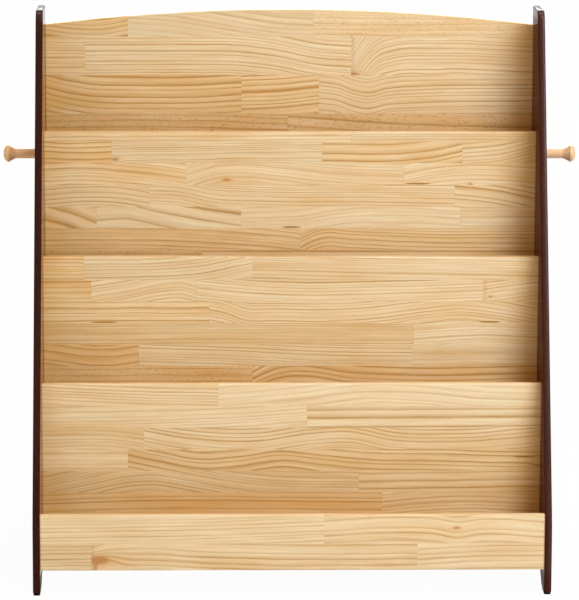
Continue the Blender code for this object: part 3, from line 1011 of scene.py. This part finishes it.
# %% Outline of a panel
PANEL_CORNER = 0.004
CROWN_ROUND = 0.016
TOE_HEIGHT = 0.095
RAKE = math.radians(18.4)
BEND_ROUND = 0.150
FOOT_LENGTH = 0.042
ARCH_RISE = 0.038
ARC_STEP = math.radians(4)


def arc(centre, radius, start, sweep):
    """Points on a circle from an angle, through a sweep."""
    turn = start + sweep * np.linspace(0, 1, max(2, math.ceil(abs(sweep) / ARC_STEP)) + 1)
    return centre + radius * np.stack([np.cos(turn), np.sin(turn)], axis=-1)


def rounded(corner, before, after, radius):
    """The arc that replaces a corner and touches both of its sides."""
    to_before = (before - corner) / np.linalg.norm(before - corner)
    to_after = (after - corner) / np.linalg.norm(after - corner)
    half = math.acos(float(to_before @ to_after)) / 2
    middle = to_before + to_after
    centre = corner + middle / np.linalg.norm(middle) * radius / math.sin(half)
    first = corner + to_before * radius / math.tan(half) - centre
    last = corner + to_after * radius / math.tan(half) - centre
    start = math.atan2(first[1], first[0])
    sweep = math.remainder(math.atan2(last[1], last[0]) - start, math.tau)
    return arc(centre, radius, start, sweep)


def panel_outline(low, high):
    """Outline as (y, z): front foot, arch, rear foot, back edge, crown and raked front, one way round."""
    half = (high.y - low.y) / 2 - FOOT_LENGTH
    radius = (half**2 + ARCH_RISE**2) / (2 * ARCH_RISE)
    reach = math.asin(half / radius)
    middle = np.array([(low.y + high.y) / 2, low.z + ARCH_RISE - radius])
    arch = arc(middle, radius, math.pi / 2 + reach, -2 * reach)
    crown = low.y + (high.z - TOE_HEIGHT) * math.tan(RAKE)
    corners = ((low.y, low.z), (high.y, low.z), (high.y, high.z), (crown, high.z), (low.y, TOE_HEIGHT))
    toe, heel, back, front, bend = np.array(corners)
    return np.concatenate([
        rounded(toe, bend, arch[0], PANEL_CORNER),
        arch,
        rounded(heel, arch[-1], back, PANEL_CORNER),
        rounded(back, heel, front, PANEL_CORNER),
        rounded(front, back, bend, CROWN_ROUND),
        rounded(bend, front, toe, BEND_ROUND),
    ])


def inward(outline):
    """Vectors into an outline: halfway between the sides at each point, long enough to keep them even."""
    sides = np.roll(outline, -1, axis=0) - outline
    sides /= np.linalg.norm(sides, axis=1, keepdims=True)
    normals = np.stack([-sides[:, 1], sides[:, 0]], axis=-1)
    before = np.roll(normals, 1, axis=0)
    return (normals + before) / (1 + np.sum(normals * before, axis=1, keepdims=True))


print("panel outline:", len(panel_outline(*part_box("left_side_panel"))), "points")

# %% [markdown]
# The eased rim is a profile carried along that outline: each step of a quarter round moves inwards. The two
# flat faces are filled between the rim and the holes, and each hole is a profile turned about its own axis:
# the bolt holes are countersunk and go through, the peg's hole is blind.

# %% Rim and holes of a panel
PANEL_RIM = 0.0025
RIM_STEPS = 7
# the lacquer sets the gloss of the coat, and also how much painted sheen lightens the stain
FACE_LACQUER = {"left": 1.0, "right": 0.35}
EDGE_LACQUER = {"left": (0.04, 0.04), "right": (0.85, 0.20)}  # on the outer and the inner side
OUTER_FADE = {"left": 8, "right": 1}  # powers by which the lacquer changes from the faces to the edge
INNER_FADE = 8
HOLE_SIDES = 36
HOLE_EASE = 0.0003
SINK_RADIUS = 0.0045
SINK_RIM = 0.0011
SINK_DEPTH = 0.0028
SHANK_HOLE_RADIUS = 0.0028
PEG_HOLE_RADIUS = 0.0053
PEG_HOLE_DEPTH = 0.0076


def with_depth(depth, across):
    """Rings of (depth, y, z) from a depth for each ring and an array of (y, z) rings."""
    return np.concatenate([np.broadcast_to(depth[:, None, None], (*across.shape[:2], 1)), across], axis=-1)


def rim_rings(outline, thickness):
    """The rim from face to face: quarter round, straight, quarter round, carried along the outline."""
    turn = np.linspace(0, math.pi / 2, RIM_STEPS + 1)
    inset = PANEL_RIM * (1 - np.sin(turn))
    depth = PANEL_RIM * (1 - np.cos(turn))
    inset = np.concatenate([inset, inset[::-1]])
    depth = np.concatenate([depth, thickness - depth[::-1]])
    return with_depth(depth, outline + inset[:, None, None] * inward(outline))


def rim_lacquer(side):
    """How much lacquer each ring of the rim carries, from the outer face over the edge to the inner face.

    From a face to the edge the share changes with a power of the cosine of the turn.
    """
    turn = np.linspace(0, math.pi / 2, RIM_STEPS + 1)
    face, (outer, inner) = FACE_LACQUER[side], EDGE_LACQUER[side]
    outer = outer + (face - outer) * np.cos(turn) ** OUTER_FADE[side]
    inner = inner + (face - inner) * np.cos(turn) ** INNER_FADE
    return np.concatenate([outer, inner[::-1]])


def middle_of(node):
    """Where the axis of a turned piece or a hole lies, as (y, z): the middle of its node."""
    low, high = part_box(node)
    return np.array([low.y + high.y, low.z + high.z]) / 2


def hole_rings(node, profile):
    """A hole: a profile of (depth, radius) turned about the middle of a node."""
    turn = np.linspace(0, math.tau, HOLE_SIDES, endpoint=False)
    depth, radius = np.array(profile).T
    ring = np.stack([np.cos(turn), np.sin(turn)], axis=-1)
    return with_depth(depth, middle_of(node) + radius[:, None, None] * ring)


def fill(loops):
    """Triangles between an outline and the holes in it; the numbers count through the loops."""
    return np.array(tessellate_polygon([[Vector((u, v, 0)) for u, v in loop] for loop in loops]))


print("a rim has", 2 * (RIM_STEPS + 1), "rings")


# %% Build the side panels
SIDES = (("left", -1), ("right", 1))  # each with the sign of x towards its outside


def bolt_names(side):
    """The frame's bolts in one panel, in order."""
    return sorted(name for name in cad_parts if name.startswith(side) and "_bolt_" in name)


def outer_x(node, sign):
    """The x of a node's outer side."""
    low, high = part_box(node)
    return high.x if sign > 0 else low.x


def make_panel(side, sign):
    """One side panel: rim, holes, and the two faces between them; depth counts from the outer face."""
    node = f"{side}_side_panel"
    low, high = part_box(node)
    thickness = high.x - low.x
    through = (
        (0.0, SINK_RADIUS + HOLE_EASE),
        (HOLE_EASE, SINK_RADIUS),
        (SINK_RIM, SINK_RADIUS),
        (SINK_DEPTH, SHANK_HOLE_RADIUS),
        (thickness, SHANK_HOLE_RADIUS),
    )
    blind = (
        (0.0, PEG_HOLE_RADIUS + HOLE_EASE),
        (HOLE_EASE, PEG_HOLE_RADIUS),
        (PEG_HOLE_DEPTH, PEG_HOLE_RADIUS),
    )
    rings = [rim_rings(panel_outline(low, high), thickness)]
    rings += [hole_rings(name, through) for name in bolt_names(side)]
    rings.append(hole_rings(f"{side}_peg", blind))
    starts = np.cumsum([0] + [ring.shape[0] * ring.shape[1] for ring in rings])
    faces = []
    for ring, start in zip(rings, starts):
        faces += list(grid_faces(ring.shape[0], ring.shape[1]) + start)
    outer = [np.arange(ring.shape[1]) + start for ring, start in zip(rings, starts)]
    inner = [np.arange(end - ring.shape[1], end) for ring, end in zip(rings, starts[1:])]
    faces += list(np.concatenate(outer)[fill([ring[0, :, 1:] for ring in rings])])
    faces += list(np.concatenate(inner[:-1])[fill([ring[-1, :, 1:] for ring in rings[:-1]])])
    faces.append(inner[-1])
    points = np.concatenate([ring.reshape(-1, 3) for ring in rings])
    points[:, 0] = outer_x(node, sign) - sign * points[:, 0]
    piece = make_piece(f"stained_{node}", points, faces, stain, node)
    # lacquer at each point: the coat's gloss, and the painted sheen of the stain
    lacquer = np.full(len(points), FACE_LACQUER[side], np.float32)
    lacquer[:starts[1]] = np.repeat(rim_lacquer(side), rings[0].shape[1])
    piece.data.attributes.new("lacquer", "FLOAT", "POINT").data.foreach_set("value", lacquer)
    return piece


panels = [make_panel(side, sign) for side, sign in SIDES]
print("panels:", {panel.name: len(panel.data.polygons) for panel in panels})

# %% [markdown]
# ## The turned pegs
# A peg is turned from beech on a lathe: a tenon that goes into the panel, a slim waist, a trumpet flare and
# a domed end. On a computer the lathe is a profile of (along, radius) carried round the axis. Beech has no
# bold rings; its sign is short dark flecks along the grain.

# %% The beech finish
BEECH_PALE = (0.800, 0.540, 0.300, 1.0)
BEECH_WARM = (0.700, 0.390, 0.170, 1.0)
BEECH_FLECK = (0.420, 0.185, 0.070, 1.0)
LEFT_PEG_PAINTED_WARMTH = 0.35  # painted light: the left peg, in the shade of its panel, is painted warmer and lighter
LEFT_PEG_PAINTED_LIGHT = 0.20
BEECH_BAND = (0.02, 0.35, 0.35)  # how fine its noises are along and across the peg
BEECH_SPECKS = (0.35, 1.6, 1.6)
BAND_EDGE = (0.35, 0.75)  # noise levels between which a warm band and a fleck begin
SPECK_EDGE = (0.64, 0.74)
SPECK_SHARE = 0.55


def make_beech():
    """Lacquered beech with its grain along the peg, and painted light on the left peg."""
    material, base, shader = new_finish("beech")
    place = object_place(base)
    band = base.noise(place, BEECH_BAND, detail=3.0)
    fleck = base.noise(place, BEECH_SPECKS, detail=1.0).step(*SPECK_EDGE)
    # painted light on the left peg: warmer and lighter left of the middle
    left = 1 - place.parts()[0].step(-1.0, 1.0)
    warm = band.step(*BAND_EDGE) + left * LEFT_PEG_PAINTED_WARMTH
    colour = base.blend(BEECH_PALE, BEECH_WARM, warm.kept(0.0, 1.0)).scaled(1.0 + left * LEFT_PEG_PAINTED_LIGHT)
    colour = base.blend(colour, BEECH_FLECK, fleck * SPECK_SHARE)
    relief = base.relief(band - fleck * 0.4, strength=0.15, depth=0.0001)
    feed(shader, Base_Color=colour, Roughness=0.32 + band * 0.1, Normal=relief)
    feed(shader, Specular_IOR_Level=0.4)
    return material


beech = make_beech()
print("beech:", len(beech.node_tree.nodes), "nodes")

# %% Turn the pegs
PEG_LENGTH = 0.047
PEG_SEAT_RADIUS = 0.0072
PEG_WAIST_RADIUS = 0.0068
PEG_HEAD_RADIUS = 0.012
PEG_FLARE = 0.010
FLARE_POWER = 1.4  # 1 is a plain cone, more is hollower
PEG_RIM = 0.0016
PEG_EASE = 0.0004
PEG_DOME = 0.0065
PEG_TIP = 0.02  # share of the dome's radius that is left flat at its tip
TENON_RADIUS = 0.005
TENON_LENGTH = 0.007
PEG_SIDES = 72
CURVE_STEPS = 14


def peg_profile():
    """Profile as (along, radius): tenon, parabolic waist, power curve flare, round rim, elliptic dome."""
    turn = np.linspace(0, math.pi / 2, CURVE_STEPS + 1)
    head = PEG_LENGTH - PEG_DOME
    rim = head - PEG_RIM
    neck = rim - PEG_FLARE
    brim = PEG_HEAD_RADIUS - PEG_EASE
    waist = np.linspace(0, neck, CURVE_STEPS + 1)
    swell = (PEG_SEAT_RADIUS - PEG_WAIST_RADIUS) * np.clip(1 - 2 * waist / neck, 0, None) ** 2
    tenon = (
        (-TENON_LENGTH, TENON_RADIUS - PEG_EASE),
        (PEG_EASE - TENON_LENGTH, TENON_RADIUS),
        (0.0, TENON_RADIUS),
    )
    share = np.linspace(0, 1, CURVE_STEPS + 1)
    flare_along = neck + PEG_FLARE * share
    flare_radius = PEG_WAIST_RADIUS + (brim - PEG_WAIST_RADIUS) * share**FLARE_POWER
    rim_along = (head + rim) / 2 - PEG_RIM / 2 * np.cos(2 * turn)
    rim_radius = brim + PEG_EASE * np.sqrt(np.clip(np.sin(2 * turn), 0, None))
    return np.concatenate([
        tenon,
        np.stack([waist, PEG_WAIST_RADIUS + swell], axis=-1),
        np.stack([flare_along, flare_radius], axis=-1)[1:],
        np.stack([rim_along, rim_radius], axis=-1)[1:-1],
        np.stack([head + PEG_DOME * np.sin(turn), brim * np.cos(turn)], axis=-1)[:-1],
        ((PEG_LENGTH, PEG_TIP * brim),),
    ])


def turned(profile, sides):
    """Rings of (along, y, z): a profile of (along, radius) carried round the axis."""
    turn = np.linspace(0, math.tau, sides, endpoint=False)
    along, radius = np.asarray(profile).T
    rings = np.empty((len(along), sides, 3))
    rings[..., 0] = along[:, None]
    rings[..., 1] = radius[:, None] * np.cos(turn)
    rings[..., 2] = radius[:, None] * np.sin(turn)
    return rings


def make_peg(side, sign):
    """One peg, its seat against the panel and its dome outwards."""
    node = f"{side}_peg"
    rings = turned(peg_profile(), PEG_SIDES)
    rings[..., 0] = outer_x(node, sign) + sign * (rings[..., 0] - PEG_LENGTH)
    rings[..., 1:] += middle_of(node)
    return make_closed(f"turned_{node}", rings, beech, node)


pegs = [make_peg(side, sign) for side, sign in SIDES]
print("pegs:", {peg.name: len(peg.data.polygons) for peg in pegs})

# %% [markdown]
# ## Joint bolts
# Countersunk socket bolts hold the boards between the panels. A bolt is turned as the pegs are, but the
# rings of its socket are hexagons: there the radius depends on the angle. The steel has a dark bronze
# coating, a little worn where a key turns it.

# %% The bolt finish
BRONZE_DARK = (0.030, 0.024, 0.020, 1.0)
BRONZE_WORN = (0.110, 0.085, 0.062, 1.0)
BRONZE_GRAIN = (0.9, 0.9, 0.9)
WORN_EDGE = (0.45, 0.80)  # noise levels between which the coating is worn


def make_bronze():
    """Dark bronzed steel."""
    material, base, shader = new_finish("bolt_steel")
    place = object_place(base)
    grain = base.noise(place, BRONZE_GRAIN, detail=3.0)
    colour = base.blend(BRONZE_DARK, BRONZE_WORN, grain.step(*WORN_EDGE))
    relief = base.relief(grain, strength=0.1, depth=0.00005)
    feed(shader, Base_Color=colour, Roughness=0.34 + grain * 0.14, Normal=relief, Metallic=1.0)
    return material


bronze = make_bronze()
print("bolt steel:", len(bronze.node_tree.nodes), "nodes")

# %% Turn the bolts
BOLT_SIDES = 36
BOLT_LENGTH = 0.045
BOLT_RADIUS = 0.0025
BOLT_TIP = 0.00125
BOLT_HEAD_RADIUS = 0.0042
BOLT_HEAD_RIM = 0.0007
BOLT_EASE = 0.00015
SOCKET_ACROSS = 0.003
SOCKET_DEPTH = 0.0016


def bolt_rings():
    """Rings of (depth, y, z) from the socket's floor over the head and down the shank to the tip."""
    sink = BOLT_HEAD_RIM + BOLT_HEAD_RADIUS - BOLT_RADIUS
    outside = (
        (0.0, BOLT_HEAD_RADIUS - BOLT_EASE),
        (BOLT_EASE, BOLT_HEAD_RADIUS),
        (BOLT_HEAD_RIM, BOLT_HEAD_RADIUS),
        (sink, BOLT_RADIUS),
        (BOLT_LENGTH - BOLT_TIP, BOLT_RADIUS),
        (BOLT_LENGTH, BOLT_TIP),
    )
    turn = np.linspace(0, math.tau, BOLT_SIDES, endpoint=False)
    sixth = math.pi / 3
    hexagon = SOCKET_ACROSS / 2 / np.cos((turn + sixth / 2) % sixth - sixth / 2)
    reach = hexagon + np.array([[0.0], [0.0], [BOLT_EASE]])
    across = np.stack([reach * np.cos(turn), reach * np.sin(turn)], axis=-1)
    socket = with_depth(np.array([SOCKET_DEPTH, BOLT_EASE, 0.0]), across)
    return np.concatenate([socket, turned(outside, BOLT_SIDES)])


def make_bolt(node, sign):
    """One bolt, its head towards the outside."""
    rings = bolt_rings()
    rings[..., 0] = outer_x(node, sign) - sign * rings[..., 0]
    rings[..., 1:] += middle_of(node)
    return make_closed(f"steel_{node}", rings, bronze, node)


bolts = [make_bolt(name, sign) for side, sign in SIDES for name in bolt_names(side)]
print("bolts:", len(bolts), "of", len(bolts[0].data.polygons), "faces")

# %% [markdown]
# ## Foot pads
# Thin black felt pads keep the feet off the floor. Felt swells a little at its cut edge, so the side of a
# pad is a bulging profile carried round a rounded rectangle.

# %% The felt finish
FELT_DARK = (0.006, 0.006, 0.006, 1.0)
FELT_GREY = (0.022, 0.021, 0.021, 1.0)
FELT_FIBRES = (1.5, 1.5, 3.0)
FIBRE_EDGE = (0.40, 0.75)  # noise levels between which a grey fibre begins


def make_felt():
    """Matt black felt with loose fibres."""
    material, base, shader = new_finish("pad")
    place = object_place(base)
    fibres = base.noise(place, FELT_FIBRES, detail=4.0, roughness=0.7)
    colour = base.blend(FELT_DARK, FELT_GREY, fibres.step(*FIBRE_EDGE))
    relief = base.relief(fibres, strength=0.5, depth=0.0003)
    feed(shader, Base_Color=colour, Roughness=0.9 + (fibres - 0.5) * 0.1, Normal=relief)
    feed(shader, Specular_IOR_Level=0.1)
    return material


felt = make_felt()
print("felt:", len(felt.node_tree.nodes), "nodes")

# %% Build the pads
PAD_CORNER = 0.002
PAD_BULGE = 0.0004
PAD_STEPS = 6


def make_pad(node):
    """One pad: the side bulges as a half circle carried along a rounded rectangle."""
    low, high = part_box(node)
    corners = np.array([(low.x, low.y), (high.x, low.y), (high.x, high.y), (low.x, high.y)])
    neighbours = zip(corners, np.roll(corners, 1, axis=0), np.roll(corners, -1, axis=0))
    outline = np.concatenate([rounded(*three, PAD_CORNER) for three in neighbours])
    turn = np.linspace(0, math.pi, PAD_STEPS + 1)
    inset = PAD_BULGE * (1 - np.sin(turn))
    height = low.z + (high.z - low.z) * (1 - np.cos(turn)) / 2
    rings = with_depth(height, outline + inset[:, None, None] * inward(outline))
    rings = np.roll(rings, -1, axis=-1)
    return make_closed(f"felt_{node}", rings, felt, node)


pads = [make_pad(f"{side}_{place}_foot_pad") for side, _ in SIDES for place in ("front", "rear")]
print("pads:", {pad.name: len(pad.data.polygons) for pad in pads})

# %% [markdown]
# ## Studio
# A white floor that runs to the horizon, a cool softbox near by on the right whose light falls off across
# the boards, and soft lamps far away: one high on the right, a warm one overhead, a low warm fill from the
# front left and a light behind for the edges. Together they come out about white. The floor is plain white
# to the camera and in reflections, but still takes a little of the bookcase's shadow.

# %% Floor and dome
WHITE = (1.0, 1.0, 1.0, 1.0)
FLOOR_WHITE = (0.8, 0.8, 0.8, 1.0)
FLOOR_REACH = 60.0  # metres
SHADOW_SHARE = 0.035  # how much of the lit floor shows through the plain white
DOME_LEVEL = 0.01  # how bright the dome is as a lamp


def seen_directly(base):
    """1 for rays from the camera, from reflections and through glass."""
    node = base.tree.nodes.new("ShaderNodeLightPath")
    kinds = ("Is Camera Ray", "Is Glossy Ray", "Is Transmission Ray")
    seen, glossy, through = (Shade(base.tree, node.outputs[kind]) for kind in kinds)
    return base.math("MAXIMUM", base.math("MAXIMUM", seen, glossy), through)


def make_floor():
    """A wide white floor."""
    material, base, shader = new_finish("white_floor")
    feed(shader, Base_Color=FLOOR_WHITE, Roughness=0.9, Specular_IOR_Level=0.0)
    glow = base.add("Emission", {}, {"Color": WHITE, "Strength": 1.0})
    lit = Shade(base.tree, shader.outputs[0])
    mixed = base.add("MixShader", {}, {0: seen_directly(base) * (1 - SHADOW_SHARE), 1: lit, 2: glow})
    base.tree.links.new(mixed.socket, base.tree.nodes["Material Output"].inputs["Surface"])
    corners = np.array([(-1, -1, 0), (1, -1, 0), (1, 1, 0), (-1, 1, 0)]) * FLOOR_REACH
    mesh = bpy.data.meshes.new("floor")
    mesh.from_pydata(corners.tolist(), [], [[0, 1, 2, 3]])
    mesh.materials.append(material)
    floor = bpy.data.objects.new("floor", mesh)
    bpy.context.scene.collection.objects.link(floor)


def make_dome():
    """A world that lights softly, and is plain white where it is seen."""
    world = bpy.data.worlds.new("dome")
    world.use_nodes = True
    bpy.context.scene.world = world
    base = Shade(world.node_tree)
    background = world.node_tree.nodes["Background"]
    background.inputs["Color"].default_value = WHITE
    level = seen_directly(base) * (1 - DOME_LEVEL) + DOME_LEVEL
    world.node_tree.links.new(level.socket, background.inputs["Strength"])


make_floor()
make_dome()
print("floor and dome ready")


# %% Lamps
AIM = Vector((0.0, 0.1, 0.4))  # the point that the near lamp looks at
NEAR_REACH = 1.5  # metres
NEAR_SIZE = 0.8
FAR_WIDTH = math.radians(36)  # as wide as a far lamp looks
PLAIN_LIGHT = (1.0, 1.0, 1.0)
COOL_LIGHT = (0.86, 0.96, 1.24)
SUNNY_LIGHT = (1.05, 1.02, 0.92)
WARM_LIGHT = (1.25, 0.95, 0.82)
FILL_LIGHT = (1.25, 0.97, 0.82)


def place_lamp(name, data, azimuth, elevation, reach, colour):
    """Puts a lamp on a line from the aim: azimuth from the front to the right, elevation up, in degrees."""
    around, up = math.radians(azimuth), math.radians(elevation)
    towards = Vector((math.sin(around) * math.cos(up), -math.cos(around) * math.cos(up), math.sin(up)))
    data.color = colour
    lamp = bpy.data.objects.new(name, data)
    lamp.location = AIM + towards * reach
    lamp.rotation_mode = "QUATERNION"
    lamp.rotation_quaternion = (-towards).to_track_quat("-Z", "Y")
    lamp.visible_camera = False
    bpy.context.scene.collection.objects.link(lamp)


def far_lamp(name, azimuth, elevation, level, colour):
    """A soft lamp far away, where only its direction counts; a white card that faces it has this level."""
    data = bpy.data.lights.new(name, "SUN")
    data.energy = math.pi * level
    data.angle = FAR_WIDTH
    place_lamp(name, data, azimuth, elevation, 0.0, colour)


def near_lamp(name, azimuth, elevation, level, colour):
    """A round softbox near by, whose light falls off across the bookcase; the level holds at the aim."""
    data = bpy.data.lights.new(name, "AREA")
    data.shape = "DISK"
    data.size = NEAR_SIZE
    data.energy = math.pi**2 * NEAR_REACH**2 * level
    place_lamp(name, data, azimuth, elevation, NEAR_REACH, colour)


near_lamp("key_light", 41, 25, 0.325, COOL_LIGHT)
far_lamp("high_light", 30, 45, 0.545, SUNNY_LIGHT)
far_lamp("top_light", 0, 88, 0.37, WARM_LIGHT)
far_lamp("left_fill", -35, 5, 0.12, FILL_LIGHT)
far_lamp("back_light", 180, 25, 0.50, PLAIN_LIGHT)
print("lamps:", ", ".join(lamp.name for lamp in bpy.data.lights))

# %% [markdown]
